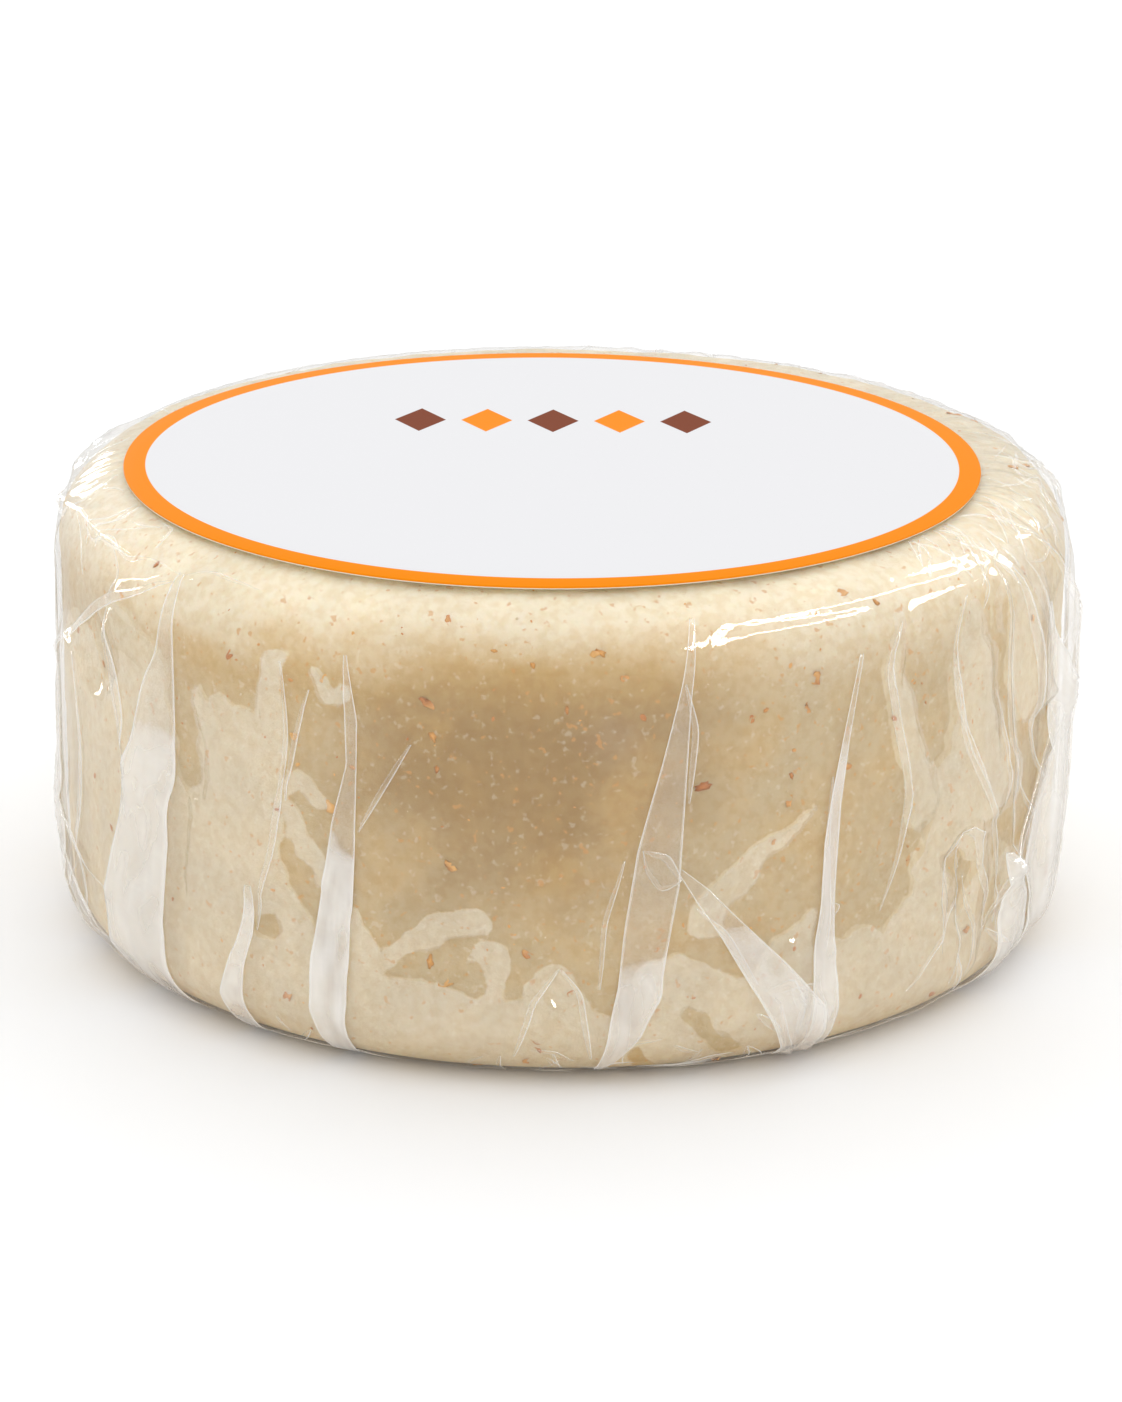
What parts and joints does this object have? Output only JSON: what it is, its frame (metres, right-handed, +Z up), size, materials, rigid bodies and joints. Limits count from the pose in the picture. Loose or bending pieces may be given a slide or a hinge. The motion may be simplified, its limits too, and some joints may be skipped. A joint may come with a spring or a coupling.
{
  "type": "wrapped peanut marzipan candy",
  "caption": "Squat round cake of pressed peanut marzipan, tightly wrapped in clear pleated film, with a round paper label on top.",
  "frame": {"origin": "middle of the underside, on the surface the candy stands on", "axes": "+Z up through the middle of the label, -Y the front with the widest folds of film, +X to the right of the front"},
  "size_m": [0.053, 0.0533, 0.0241],
  "materials": {
    "marzipan": "dense cream peanut paste with small brown flecks of skin, seen through clear film",
    "clear_film": "thin clear glossy wrapping film",
    "label_paper": "smooth white label with a printed orange ring"
  },
  "bodies": {
    "root": {"wrapped_candy": "marzipan", "label": "label_paper"}
  },
  "joints": []
}
